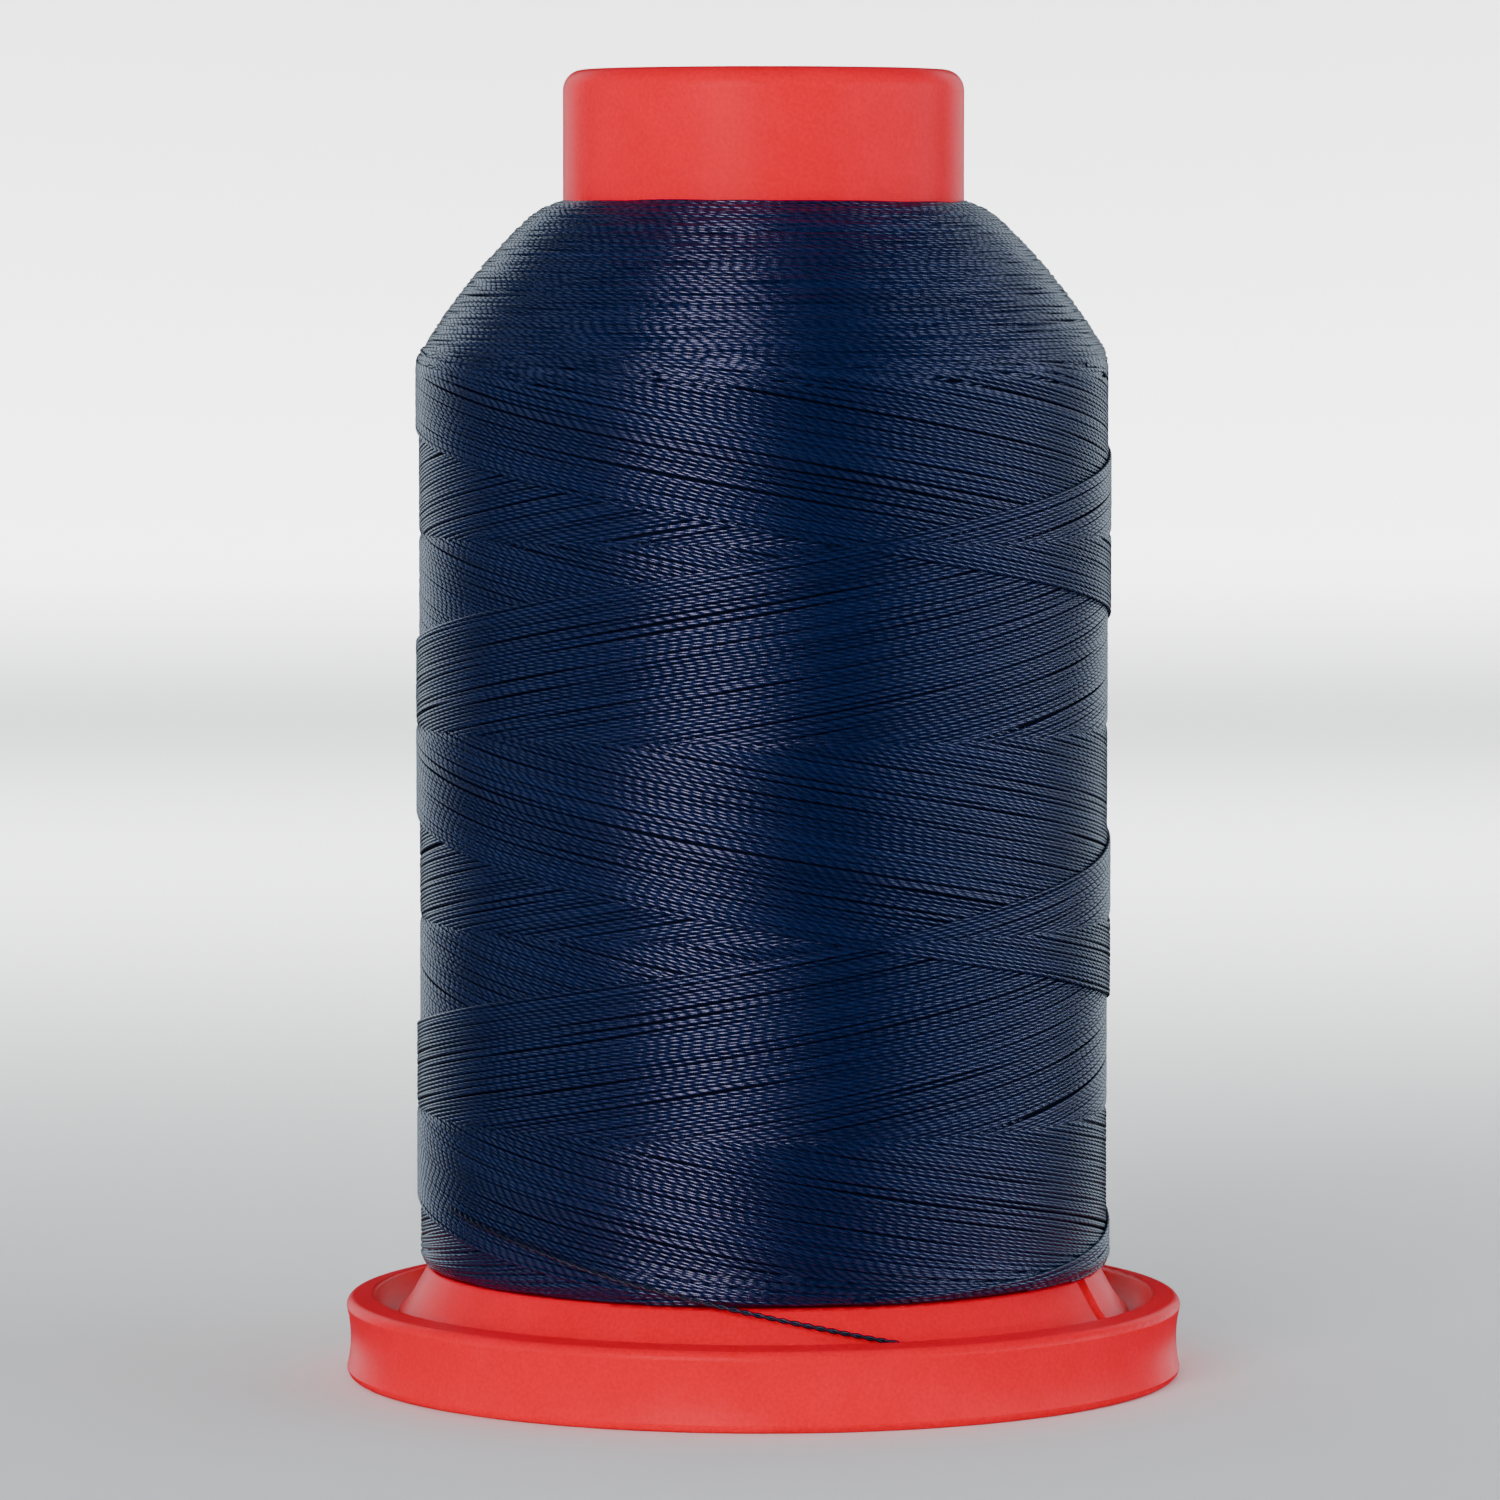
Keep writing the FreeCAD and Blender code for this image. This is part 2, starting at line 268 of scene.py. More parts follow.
def red_plastic(name, deep, light):
    """Moulded red plastic: fine speckle, faint mottling, tiny surface grain."""
    mat, nodes, links, shader = material(name)
    coords = nodes.new("ShaderNodeTexCoord").outputs["Object"]
    mottle = noise(nodes, links, coords, 260.0, 4.0, 0.6)
    speck = noise(nodes, links, coords, 5200.0, 2.0, 0.5)
    blend = scalar(nodes, links, "MULTIPLY_ADD", speck, 0.55, scalar(nodes, links, "MULTIPLY", mottle, 0.45))
    between = tuple((a + b) / 2 for a, b in zip(deep, light))
    colour = ramp(nodes, links, blend, [(0.30, deep), (0.50, between), (0.70, light)])
    links.new(colour, shader.inputs["Base Color"])
    rough = scalar(nodes, links, "MULTIPLY_ADD", mottle, 0.06, 0.27)
    links.new(rough, shader.inputs["Roughness"])
    shader.inputs["Subsurface Weight"].default_value = 0.12
    shader.inputs["Subsurface Radius"].default_value = (0.0016, 0.0004, 0.0003)
    shader.inputs["Subsurface Scale"].default_value = 0.6
    shader.inputs["Specular IOR Level"].default_value = 0.05
    grain = noise(nodes, links, coords, 9000.0, 2.0, 0.6)
    bump = nodes.new("ShaderNodeBump")
    bump.inputs["Strength"].default_value = 0.40
    bump.inputs["Distance"].default_value = 0.00002
    links.new(grain, bump.inputs["Height"])
    links.new(bump.outputs["Normal"], shader.inputs["Normal"])
    return mat


def label_paper():
    mat, nodes, links, shader = material("label_paper")
    coords = nodes.new("ShaderNodeTexCoord").outputs["Object"]
    fibre = noise(nodes, links, coords, 1800.0, 6.0, 0.7)
    colour = ramp(nodes, links, fibre, [
        (0.3, (0.74, 0.72, 0.67)),
        (0.5, (0.80, 0.79, 0.75)),
        (0.7, (0.86, 0.85, 0.82)),
    ])
    links.new(colour, shader.inputs["Base Color"])
    shader.inputs["Roughness"].default_value = 0.85
    bump = nodes.new("ShaderNodeBump")
    bump.inputs["Strength"].default_value = 0.3
    bump.inputs["Distance"].default_value = 0.00002
    links.new(fibre, bump.inputs["Height"])
    links.new(bump.outputs["Normal"], shader.inputs["Normal"])
    return mat


def thread_material(name):
    """Twisted two-ply polyester, with painted shade where the plies meet and painted glints on their crowns. UV x runs
    along the thread in twist turns, UV y round it.
    """
    mat, nodes, links, shader = material(name)
    uv = nodes.new("ShaderNodeUVMap")
    uv.uv_map = "thread"
    split = nodes.new("ShaderNodeSeparateXYZ")
    links.new(uv.outputs["UV"], split.inputs["Vector"])
    along = split.outputs["X"]
    around = split.outputs["Y"]
    phase = scalar(nodes, links, "SUBTRACT", around, along)
    wave = scalar(nodes, links, "COSINE", scalar(nodes, links, "MULTIPLY", phase, 2.0 * math.pi))
    lobe = scalar(nodes, links, "POWER", scalar(nodes, links, "ABSOLUTE", wave), 0.6)
    # Filaments lie along the plies: fine across the phase, long along the thread.
    place = nodes.new("ShaderNodeCombineXYZ")
    links.new(scalar(nodes, links, "MULTIPLY", phase, 22.0), place.inputs["X"])
    links.new(scalar(nodes, links, "MULTIPLY", along, 3.0), place.inputs["Y"])
    filament = noise(nodes, links, place.outputs["Vector"], 1.0, 2.0, 0.6)
    tone = nodes.new("ShaderNodeAttribute")
    tone.attribute_name = "tone"
    tone_value = tone.outputs["Fac"]
    # Painted shade: the base colour is darker where the plies meet and lighter on their crowns; the filament noise and
    # the per-thread tone are the thread's own variation.
    painted_groove_shade = scalar(nodes, links, "MULTIPLY", lobe, 0.62)
    shade = scalar(nodes, links, "ADD", painted_groove_shade, scalar(nodes, links, "MULTIPLY", filament, 0.26))
    shade = scalar(nodes, links, "ADD", shade, scalar(nodes, links, "MULTIPLY", tone_value, 0.22))
    colour = ramp(nodes, links, shade, [
        (0.25, (0.0006, 0.0020, 0.0110)),
        (0.60, (0.0016, 0.0056, 0.0300)),
        (0.95, (0.0036, 0.0120, 0.0560)),
    ])
    links.new(colour, shader.inputs["Base Color"])
    rough = scalar(nodes, links, "MULTIPLY_ADD", filament, 0.14, 0.13)
    links.new(rough, shader.inputs["Roughness"])
    shader.inputs["Specular IOR Level"].default_value = 1.0
    # Painted glints: the specular tint is high on the ply crowns and painted dark where the plies meet, for the shade
    # in the grooves.
    crown = scalar(nodes, links, "COSINE", scalar(nodes, links, "MULTIPLY", phase, 4.0 * math.pi))
    painted_glint_tint = ramp(nodes, links, scalar(nodes, links, "MULTIPLY_ADD", crown, 0.5, 0.5), [
        (0.20, (0.10, 0.11, 0.22)),
        (0.60, (0.52, 0.51, 0.94)),
        (0.92, (0.84, 0.81, 1.0)),
    ])
    links.new(painted_glint_tint, shader.inputs["Specular Tint"])
    height = scalar(nodes, links, "ADD", lobe, scalar(nodes, links, "MULTIPLY", filament, 0.22))
    bump = nodes.new("ShaderNodeBump")
    bump.inputs["Strength"].default_value = 1.0
    bump.inputs["Distance"].default_value = 0.00003
    links.new(height, bump.inputs["Height"])
    links.new(bump.outputs["Normal"], shader.inputs["Normal"])
    return mat


def gap_shade_material():
    """What shows in the gaps between threads: the lower layers, given painted shade, much darker than the thread and
    almost without reflection.
    """
    mat, nodes, links, shader = material("thread_under_painted_shade")
    coords = nodes.new("ShaderNodeTexCoord").outputs["Object"]
    grain = noise(nodes, links, coords, 2500.0, 3.0, 0.6)
    # Painted shade: far darker than the wound thread, for the shadow that fills the gaps.
    colour = ramp(nodes, links, grain, [(0.3, (0.0005, 0.0010, 0.005)), (0.7, (0.0012, 0.0026, 0.013))])
    links.new(colour, shader.inputs["Base Color"])
    shader.inputs["Roughness"].default_value = 0.7
    shader.inputs["Specular IOR Level"].default_value = 0.05
    return mat


def arc_points(start, middle, end, count):
    """Points along the circle arc through three points."""
    (ax, ay), (bx, by), (cx, cy) = start, middle, end
    d = 2.0 * (ax * (by - cy) + bx * (cy - ay) + cx * (ay - by))
    a2, b2, c2 = ax * ax + ay * ay, bx * bx + by * by, cx * cx + cy * cy
    ux = (a2 * (by - cy) + b2 * (cy - ay) + c2 * (ay - by)) / d
    uy = (a2 * (cx - bx) + b2 * (ax - cx) + c2 * (bx - ax)) / d
    radius = math.hypot(ax - ux, ay - uy)
    angles = np.unwrap([math.atan2(y - uy, x - ux) for x, y in (start, middle, end)])
    turn = np.interp(np.linspace(0.0, 2.0, count), [0.0, 1.0, 2.0], angles)
    return np.stack([ux + radius * np.cos(turn), uy + radius * np.sin(turn)], 1)


def package_outline():
    """Radius and height up the package, with the length along the outline."""
    low = arc_points((17.60, 5.90), (18.27, 6.16), (PACKAGE_R, 6.95), 12)
    side = np.array([(PACKAGE_R, z) for z in np.linspace(7.2, 53.3, 40)])
    edge = arc_points((PACKAGE_R, 53.55), (18.40, 54.40), (18.05, 55.20), 12)
    dome = arc_points((18.05, 55.20), (15.80, 58.40), (12.75, 61.72), 30)
    top = arc_points((12.75, 61.72), (11.85, 62.38), (10.74, 62.82), 12)
    points = np.concatenate([low, side, edge, dome[1:], top[1:]])
    step = np.hypot(*np.diff(points, axis=0).T)
    return points, np.concatenate([[0.0], np.cumsum(step)])


OUTLINE, OUTLINE_S = package_outline()
SIDE = OUTLINE[:, 1] <= SIDE_TOP


def radius_at(z):
    return np.interp(z, OUTLINE[SIDE, 1], OUTLINE[SIDE, 0])


def outline_at(s):
    """Point and outward normal of the outline at length s along it."""
    r = np.interp(s, OUTLINE_S, OUTLINE[:, 0])
    z = np.interp(s, OUTLINE_S, OUTLINE[:, 1])
    dr = np.interp(s + 0.2, OUTLINE_S, OUTLINE[:, 0]) - np.interp(s - 0.2, OUTLINE_S, OUTLINE[:, 0])
    dz = np.interp(s + 0.2, OUTLINE_S, OUTLINE[:, 1]) - np.interp(s - 0.2, OUTLINE_S, OUTLINE[:, 1])
    size = np.hypot(dr, dz)
    return r, z, dz / size, -dr / size


def age(theta, z, falling):
    """How many rounds ago a direction's thread was laid at a place, from 0 (newest) to 1."""
    phase = theta + TURN_K * z - EDGE_DOWN if falling else theta - TURN_K * z - EDGE_UP
    return (phase / (2.0 * math.pi)) % 1.0


def surface_lift(theta, z):
    return LAYER * (1.0 - age(theta, z, True) - age(theta, z, False))


def smoothed(values, reach):
    kernel = np.hanning(2 * reach + 3)[1:-1]
    kernel /= kernel.sum()
    return np.convolve(np.pad(values, reach, mode="edge"), kernel, mode="valid")


def wander(count, reach, size):
    """A slow random drift along a thread."""
    return smoothed(RNG.normal(0.0, 1.0, count), reach) * size * math.sqrt(reach)


def turn_back(peak, cross):
    """Curvature and half width, in turn, of the parabola that rounds the end of a stroke."""
    rise = 1.0 / TURN_K
    gap = max(abs(cross - peak), 0.35)
    curve = rise * rise / (4.0 * gap)
    return curve, rise / (2.0 * curve)


def stroke_path(number, falling, step):
    """Angle and height along one stroke from its low turn to its high turn."""
    phase = (EDGE_DOWN if falling else EDGE_UP) + number * SPACING
    top_peak = TOP_PEAK + 0.35 * math.sin(0.9 * number) + 0.25 * math.sin(2.3 * number + 1.0)
    low_peak = LOW_PEAK + 0.15 * math.sin(1.7 * number)
    rise = 1.0 / TURN_K
    sign = -1.0 if falling else 1.0
    low_curve, low_width = turn_back(low_peak, LOW_CROSS)
    top_curve, top_width = turn_back(top_peak, TOP_CROSS)
    turns_low = phase - TURN_K * LOW_CROSS if falling else phase + TURN_K * LOW_CROSS
    turns_top = phase - TURN_K * TOP_CROSS if falling else phase + TURN_K * TOP_CROSS
    span = abs(turns_top - turns_low)
    count = int(span * PACKAGE_R / step)
    u = np.linspace(0.0, span, count)
    z = LOW_CROSS + u * rise
    z = np.where(u < low_width, low_peak + low_curve * u * u, z)
    v = span - u
    z = np.where(v < top_width, top_peak - top_curve * v * v, z)
    z = smoothed(z, 2)
    theta = turns_low + sign * u
    return theta, z


def runs(keep):
    """Start and end of every stretch of True."""
    edges = np.flatnonzero(np.diff(np.concatenate([[0], keep.astype(int), [0]])))
    return zip(edges[::2], edges[1::2])


def body_strands(step):
    """The threads of the straight side that show, newest on top."""
    strands = []
    for falling in (True, False):
        for number in range(STROKES):
            theta, z = stroke_path(number, falling, step)
            own = number / STROKES
            other = age(theta, z, not falling)
            seen = own < other + COVER_MARGIN
            near_end = (z > TOP_PEAK - TOP_BAND) | (z < LOW_PEAK + LOW_BAND)
            grow = int(1.6 / step) + 1
            keep = np.convolve(seen.astype(float), np.ones(2 * grow + 1), mode="same") > 0
            keep |= near_end
            under = (other < own).astype(float)
            lift = LAYER * (1.0 - own) + LAYER * (1.0 - other - under)
            lift = np.where(near_end & (under > 0), lift + 0.5 * LAYER, lift)
            lift = smoothed(lift, max(2, int(1.4 / step)))
            radius = radius_at(z) + lift - LAYER - HALF_HEIGHT
            radius += wander(len(z), int(6.0 / step), 0.006)
            z = z + wander(len(z), int(6.0 / step), 0.024) + RNG.normal(0.0, 0.008)
            if RNG.random() < 0.22:
                opens = np.clip(0.4 + wander(len(z), int(7.0 / step), 0.7), 0.0, 1.0)
                z = z + RNG.choice([-1.0, 1.0]) * RNG.uniform(0.04, 0.10) * opens
            tone = RNG.random()
            start_turn = RNG.random()
            order = 1 if not falling else -1
            for a, b in runs(keep):
                if b - a < 6:
                    continue
                rows = slice(a, b)
                t, h, r = theta[rows][::order], z[rows][::order], radius[rows][::order]
                points = np.stack([r * np.cos(t), r * np.sin(t), h], 1)
                out = np.stack([np.cos(t), np.sin(t), np.zeros_like(t)], 1)
                strands.append((points, out, tone, start_turn))
    return strands


def shoulder_strands(step):
    """The turn-back arcs of older layers that make up the tapered shoulder."""
    strands = []
    low = float(np.interp(SHOULDER_START, OUTLINE[SIDE, 1], OUTLINE_S[SIDE]))
    high = OUTLINE_S[-1]
    for index in range(SHOULDER_ARCS):
        share = 1.0 - index / SHOULDER_ARCS
        peak = low + 0.4 + (high - low - 0.45) * share + RNG.normal(0.0, 0.05)
        peak = min(peak, high - 0.05)
        centre = index * ARC_TURN + RNG.normal(0.0, 0.05)
        curve = RNG.uniform(0.45, 1.1)
        half = math.sqrt(0.95 / curve)
        radius = float(np.interp(peak, OUTLINE_S, OUTLINE[:, 0]))
        count = max(8, int(2.0 * half * radius / step))
        t = np.linspace(-half, half, count)
        drop = curve * t * t
        s = peak - drop + wander(count, max(2, int(5.0 / step)), 0.012)
        r, z, nr, nz = outline_at(s)
        sink = -HALF_HEIGHT + 0.03 - abs(RNG.normal(0.0, 0.045)) - 0.75 * drop
        sink = sink + wander(count, max(2, int(5.0 / step)), 0.006)
        r = r + nr * sink
        z = z + nz * sink
        a = centre + t
        points = np.stack([r * np.cos(a), r * np.sin(a), z], 1)
        out = np.stack([nr * np.cos(a), nr * np.sin(a), nz], 1)
        strands.append((points, out, RNG.random(), RNG.random()))
    return strands


def strand_mesh(name, strands, mat):
    """One mesh of many threads: open outer half tubes with a UV along and round each."""
    corners, faces, uvs, tones = [], [], [], []
    base = 0
    m = len(SECTION)
    for points, out, tone, start in strands:
        n = len(points)
        along = np.gradient(points, axis=0)
        length = np.linalg.norm(along, axis=1, keepdims=True)
        along /= length
        across = np.cross(along, out)
        across /= np.linalg.norm(across, axis=1, keepdims=True)
        normal = np.cross(across, along)
        ring = (points[:, None, :]
                + HALF_WIDTH * np.sin(SECTION)[None, :, None] * across[:, None, :]
                + HALF_HEIGHT * np.cos(SECTION)[None, :, None] * normal[:, None, :])
        corners.append(ring.reshape(-1, 3))
        gone = np.concatenate([[0.0], np.cumsum(np.linalg.norm(np.diff(points, axis=0), axis=1))])
        u = gone / TWIST_PITCH + start
        v = SECTION / (2.0 * math.pi)
        uv = np.stack(np.broadcast_arrays(u[:, None], v[None, :]), -1)
        uvs.append(uv.reshape(-1, 2))
        tones.append(np.full(n * m, tone))
        i = np.arange(n - 1)[:, None] * m + np.arange(m - 1)[None, :] + base
        quad = np.stack([i, i + 1, i + m + 1, i + m], -1).reshape(-1, 4)
        faces.append(quad)
        base += n * m
    corners = np.concatenate(corners) * MM
    faces = np.concatenate(faces)
    uvs = np.concatenate(uvs)
    tones = np.concatenate(tones)
    mesh = bpy.data.meshes.new(name)
    mesh.vertices.add(len(corners))
    mesh.vertices.foreach_set("co", corners.astype(np.float32).ravel())
    mesh.loops.add(faces.size)
    mesh.loops.foreach_set("vertex_index", faces.astype(np.int32).ravel())
    mesh.polygons.add(len(faces))
    mesh.polygons.foreach_set("loop_start", np.arange(0, faces.size, 4, dtype=np.int32))
    mesh.update(calc_edges=True)
    mesh.polygons.foreach_set("use_smooth", np.ones(len(faces), dtype=bool))
    layer = mesh.uv_layers.new(name="thread")
    layer.data.foreach_set("uv", uvs[faces.ravel()].astype(np.float32).ravel())
    shade = mesh.attributes.new("tone", "FLOAT", "POINT")
    shade.data.foreach_set("value", tones.astype(np.float32))
    mesh.materials.append(mat)
    obj = bpy.data.objects.new(name, mesh)
    bpy.context.scene.collection.objects.link(obj)
    return obj


def grid_mesh(name, rings, mat):
    """A closed band of rings, each an array of points."""
    count, around = rings.shape[:2]
    corners = rings.reshape(-1, 3) * MM
    i = np.arange(count - 1)[:, None] * around
    j = np.arange(around)[None, :]
    k = (j + 1) % around
    faces = np.stack([i + j, i + k, i + around + k, i + around + j], -1).reshape(-1, 4)
    mesh = bpy.data.meshes.new(name)
    mesh.from_pydata(corners.tolist(), [], faces.tolist())
    mesh.polygons.foreach_set("use_smooth", np.ones(len(faces), dtype=bool))
    mesh.materials.append(mat)
    obj = bpy.data.objects.new(name, mesh)
    bpy.context.scene.collection.objects.link(obj)
    return obj


def under_layer(mat):
    """Wound body just below the visible threads, dark with painted shade."""
    s = np.linspace(0.0, OUTLINE_S[-1], 190)
    theta = np.linspace(0.0, 2.0 * math.pi, 240, endpoint=False)
    r, z, nr, nz = outline_at(s)
    side = (z > 6.6) & (z < 53.6)
    lift = np.where(side[:, None], surface_lift(theta[None, :], z[:, None]) * 0.5, 0.0) - UNDER_DEPTH
    rr = r[:, None] + nr[:, None] * lift
    zz = z[:, None] + nz[:, None] * lift
    rings = np.stack([rr * np.cos(theta)[None, :], rr * np.sin(theta)[None, :],
                      np.broadcast_to(zz, rr.shape)], -1)
    low = rings[:1].copy()
    low[..., :2] *= 0.60
    return grid_mesh("wound_under", np.concatenate([low, rings]), mat)


def tail_line():
    """Points in metres along the route's smooth spline."""
    curve = bpy.data.curves.new("tail_line", "CURVE")
    curve.dimensions = "3D"
    curve.resolution_u = 40
    spline = curve.splines.new("NURBS")
    spline.points.add(len(TAIL_ROUTE) - 1)
    for place, (azimuth, radius, height) in zip(spline.points, TAIL_ROUTE):
        angle = math.radians(azimuth)
        place.co = (radius * math.cos(angle) * MM, radius * math.sin(angle) * MM, height * MM, 1.0)
    spline.order_u = 3
    spline.use_endpoint_u = True
    holder = bpy.data.objects.new("tail_line", curve)
    mesh = bpy.data.meshes.new_from_object(holder)
    points = np.array([vertex.co for vertex in mesh.vertices])
    bpy.data.objects.remove(holder)
    return points


def evenly(points, step):
    gone = np.concatenate([[0.0], np.cumsum(np.linalg.norm(np.diff(points, axis=0), axis=1))])
    count = int(gone[-1] / step) + 1
    at = np.linspace(0.0, gone[-1], count)
    return np.stack([np.interp(at, gone, points[:, axis]) for axis in range(3)], 1), at


def twisted_tail(mat):
    """Two plies wound round each other along the spline."""
    line = tail_line()
    path, at = evenly(line, 0.09 * MM)
    along = np.gradient(path, axis=0)
    along /= np.linalg.norm(along, axis=1, keepdims=True)
    out = path * np.array([1.0, 1.0, 0.0])
    out -= along * np.sum(out * along, axis=1, keepdims=True)
    out /= np.linalg.norm(out, axis=1, keepdims=True)
    across = np.cross(along, out)
    sides = PLY_SIDES
    ring = np.linspace(0.0, 2.0 * math.pi, sides, endpoint=False)
    corners, faces, uvs = [], [], []
    n = len(path)
    for ply in range(2):
        turn = 2.0 * math.pi * at / (TWIST_PITCH * MM) + math.pi * ply
        centre = path + PLY_OFFSET * MM * (np.cos(turn)[:, None] * out + np.sin(turn)[:, None] * across)
        swell = 1.0 + 0.06 * np.sin(at / MM * 1.3 + ply)
        body = (centre[:, None, :]
                + (PLY_RADIUS * MM * swell)[:, None, None]
                * (np.cos(ring)[None, :, None] * out[:, None, :]
                   + np.sin(ring)[None, :, None] * across[:, None, :]))
        base = ply * n * sides
        corners.append(body.reshape(-1, 3))
        i = np.arange(n - 1)[:, None] * sides
        j = np.arange(sides)[None, :]
        k = (j + 1) % sides
        quads = np.stack([i + j, i + k, i + sides + k, i + sides + j], -1).reshape(-1, 4) + base
        faces += quads.tolist()
        faces.append([base + q for q in range(sides)][::-1])
        faces.append([base + (n - 1) * sides + q for q in range(sides)])
        u = np.broadcast_to((at / (TWIST_PITCH * MM))[:, None], (n, sides))
        v = np.broadcast_to((ring / (2.0 * math.pi))[None, :], (n, sides))
        uvs.append(np.stack([u, v], -1).reshape(-1, 2))
    mesh = bpy.data.meshes.new("thread_end")
    mesh.from_pydata(np.concatenate(corners).tolist(), [], faces)
    mesh.polygons.foreach_set("use_smooth", np.ones(len(faces), dtype=bool))
    layer = mesh.uv_layers.new(name="thread")
    index = np.empty(len(mesh.loops), dtype=np.int32)
    mesh.loops.foreach_get("vertex_index", index)
    layer.data.foreach_set("uv", np.concatenate(uvs)[index].astype(np.float32).ravel())
    mesh.materials.append(mat)
    obj = bpy.data.objects.new("thread_end", mesh)
    bpy.context.scene.collection.objects.link(obj)
    length = float(at[-1])
    return obj, [tuple(p) for p in path[::6]], length


def tail_material():
    mat, nodes, links, shader = material("tail_thread")
    uv = nodes.new("ShaderNodeUVMap")
    uv.uv_map = "thread"
    split = nodes.new("ShaderNodeSeparateXYZ")
    links.new(uv.outputs["UV"], split.inputs["Vector"])
    lean = scalar(nodes, links, "MULTIPLY", split.outputs["X"], 0.35)
    phase = scalar(nodes, links, "SUBTRACT", split.outputs["Y"], lean)
    place = nodes.new("ShaderNodeCombineXYZ")
    links.new(scalar(nodes, links, "MULTIPLY", phase, 14.0), place.inputs["X"])
    links.new(scalar(nodes, links, "MULTIPLY", split.outputs["X"], 3.0), place.inputs["Y"])
    filament = noise(nodes, links, place.outputs["Vector"], 1.0, 2.0, 0.6)
    colour = ramp(nodes, links, filament, [
        (0.3, (0.0010, 0.0016, 0.0080)),
        (0.7, (0.0030, 0.0060, 0.0260)),
    ])
    links.new(colour, shader.inputs["Base Color"])
    shader.inputs["Roughness"].default_value = 0.26
    shader.inputs["Specular IOR Level"].default_value = 0.60
    shader.inputs["Specular Tint"].default_value = (0.80, 0.76, 1.0, 1.0)
    bump = nodes.new("ShaderNodeBump")
    bump.inputs["Strength"].default_value = 0.6
    bump.inputs["Distance"].default_value = 0.00002
    links.new(filament, bump.inputs["Height"])
    links.new(bump.outputs["Normal"], shader.inputs["Normal"])
    return mat


def set_camera():
    data = bpy.data.cameras.new("view_camera")
    data.sensor_width = 36.0
    data.lens = CAMERA_LENS
    data.clip_start = 0.01
    data.clip_end = 20.0
    camera = bpy.data.objects.new("view_camera", data)
    camera.location = [value * MM for value in CAMERA_AT]
    camera.rotation_euler = (math.radians(90.0 - CAMERA_PITCH), 0.0, 0.0)
    bpy.context.scene.collection.objects.link(camera)
    bpy.context.scene.camera = camera


def area_light(name, place, aim, width, height, brightness, colour=WHITE, spread=180.0):
    """A soft box at one point that faces another; its power follows from size and brightness."""
    data = bpy.data.lights.new(name, "AREA")
    data.shape = "RECTANGLE"
    data.size = width
    data.size_y = height
    data.energy = 4.0 * width * height * brightness
    data.color = colour
    data.spread = math.radians(spread)
    lamp = bpy.data.objects.new(name, data)
    lamp.location = place
    towards = Vector(aim) - Vector(place)
    lamp.rotation_euler = towards.to_track_quat("-Z", "Y").to_euler()
    bpy.context.scene.collection.objects.link(lamp)
    return lamp


def round_the_spool(azimuth, elevation, distance):
    """A place seen from the spool; azimuth 0 is the front, + to the right."""
    a = math.radians(azimuth)
    e = math.radians(elevation)
    level = distance * math.cos(e)
    return (level * math.sin(a), -level * math.cos(a), MIDDLE[2] + distance * math.sin(e))


def set_lights():
    area_light("key_left", round_the_spool(-21.0, 16.0, 0.80), MIDDLE, 0.43, 0.42, 7.9, (1.0, 0.96, 1.0))
    area_light("side_right", round_the_spool(80.0, 11.0, 0.72), MIDDLE, 1.00, 0.32, 2.9, (0.80, 0.92, 1.0))
    area_light("side_left", round_the_spool(-78.0, 12.0, 0.80), MIDDLE, 0.80, 0.40, 0.7, (0.75, 0.92, 1.0))
    area_light("rim_left", round_the_spool(-148.0, 10.0, 0.80), MIDDLE, 0.45, 0.60, 1.0, (0.78, 0.92, 1.0))
    area_light("rim_right", round_the_spool(148.0, 10.0, 0.80), MIDDLE, 0.45, 0.60, 1.0, (0.78, 0.92, 1.0))
    area_light("backdrop", (0.0, 1.0, 0.85), (0.0, 1.06, 0.0), 1.6, 0.45, 6.0, WHITE, 80.0)
    area_light("floor_behind", (0.0, 0.36, 0.32), (0.0, 0.33, 0.0), 0.6, 0.16, 4.0, WHITE, 80.0)
    overhead = area_light("overhead", (0.0, -0.10, 0.90), MIDDLE, 0.8, 0.8, 0.5)
    overhead.visible_glossy = False


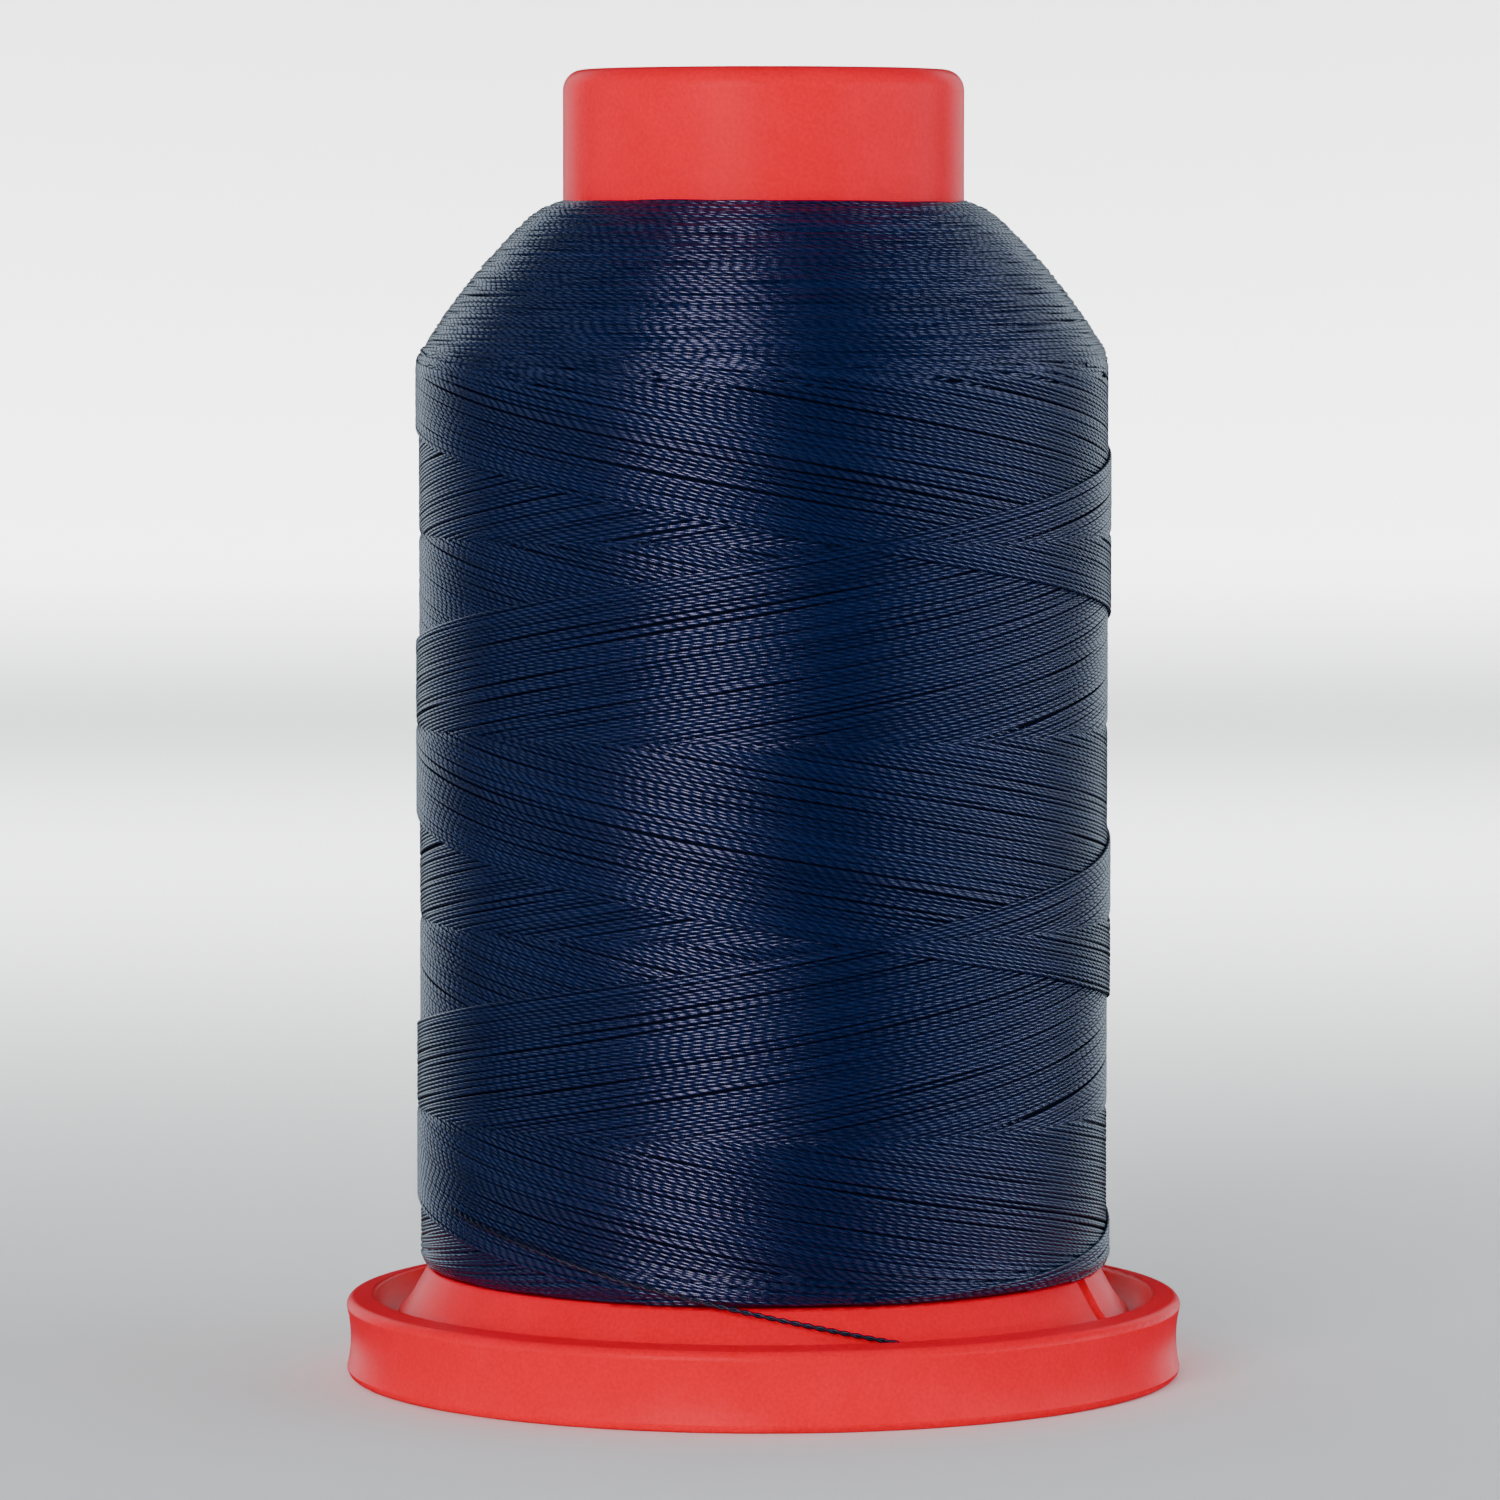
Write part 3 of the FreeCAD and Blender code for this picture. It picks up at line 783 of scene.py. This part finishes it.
def set_stage():
    """Round pale floor that sweeps up into a wall behind and beside the spool."""
    mat, nodes, links, shader = material("pale_stage")
    coords = nodes.new("ShaderNodeTexCoord").outputs["Object"]
    soft = noise(nodes, links, coords, 3.0, 2.0, 0.5)
    colour = ramp(nodes, links, soft, [(0.0, (0.92, 0.92, 0.92)), (1.0, (0.95, 0.95, 0.95))])
    links.new(colour, shader.inputs["Base Color"])
    shader.inputs["Roughness"].default_value = 0.9
    shader.inputs["Specular IOR Level"].default_value = 0.1
    profile = [(0.2, 0.0), (0.6, 0.0), (1.0, 0.0), (1.07, 0.0), (FLOOR_R, 0.0)]
    flat_rows = len(profile) - 1
    for step in range(1, 13):
        angle = math.radians(90.0 * step / 12.0)
        profile.append((FLOOR_R + SWEEP_R * math.sin(angle), SWEEP_R - SWEEP_R * math.cos(angle)))
    profile.append((FLOOR_R + SWEEP_R, WALL_TOP))
    around = STAGE_SIDES
    corners = []
    for radius, height in profile:
        for index in range(around):
            angle = 2.0 * math.pi * index / around
            corners.append((radius * math.cos(angle), radius * math.sin(angle), height))
    faces = [tuple(range(around))]
    for row in range(len(profile) - 1):
        for index in range(around):
            if row > flat_rows and OPEN_FROM < index < OPEN_TO:
                continue
            ahead = (index + 1) % around
            base = row * around
            faces.append((base + ahead, base + index, base + around + index, base + around + ahead))
    mesh = bpy.data.meshes.new("floor")
    mesh.from_pydata(corners, [], faces)
    mesh.polygons.foreach_set("use_smooth", np.ones(len(faces), dtype=bool))
    mesh.materials.append(mat)
    floor = bpy.data.objects.new("floor", mesh)
    bpy.context.scene.collection.objects.link(floor)
    floor.visible_glossy = False
    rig.stage(floor)


def set_world():
    world = bpy.data.worlds.new("studio")
    world.use_nodes = True
    back = world.node_tree.nodes["Background"]
    back.inputs["Color"].default_value = (0.95, 0.97, 1.0, 1.0)
    back.inputs["Strength"].default_value = 0.03
    bpy.context.scene.world = world


def use_material(node, mat):
    obj = frame["nodes"][node]
    for place in obj.material_slots:
        place.link = "OBJECT"
        place.material = mat


def in_pieces(strands, limit):
    """Groups of threads with at most this many points each."""
    group, held = [], 0
    for strand in strands:
        if held + len(strand[0]) > limit and group:
            yield group
            group, held = [], 0
        group.append(strand)
        held += len(strand[0])
    if group:
        yield group


def join_package(piece):
    """A visible piece that stands for the wound thread."""
    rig.ride(piece, "spool")
    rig.slot(piece, "wound_thread")
    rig.replaces(piece, "thread_package")


def wound_pieces(prefix, strands, mat):
    for number, group in enumerate(in_pieces(strands, POINTS_PER_PIECE)):
        join_package(strand_mesh("%s_%02d" % (prefix, number), group, mat))


# The camera and the free thread end come first.
set_camera()
tail, tail_path, tail_length = twisted_tail(tail_material())
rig.ride(tail, "spool")
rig.replaces(tail, "thread_tail")
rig.slot(tail, "tail_thread")
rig.cord(tail, exit=tail_path[0], length=tail_length, diameter=TAIL_DIAMETER * MM, far_end="bare",
        stiffness="limp", lay="loose", path=tail_path)

core_red = red_plastic("core_red", (0.800, 0.000, 0.012), (0.940, 0.000, 0.026))
foot_red = red_plastic("foot_red", (0.810, 0.000, 0.012), (0.950, 0.000, 0.026))
use_material("spool_core", core_red)
use_material("snap_foot", foot_red)
use_material("base_label", label_paper())

wound = thread_material("wound_thread")
body = body_strands(STRAND_STEP)
shoulder = shoulder_strands(STRAND_STEP)
under = under_layer(gap_shade_material())
join_package(under)
wound_pieces("wound_body", body, wound)
wound_pieces("wound_shoulder", shoulder, wound)

set_stage()
set_world()
set_lights()

SIZE_FINISHED = [list(corner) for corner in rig.bounds()]
with open("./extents.json", "w") as size_file:
    json.dump({"loaded": SIZE_LOADED, "finished": SIZE_FINISHED}, size_file)
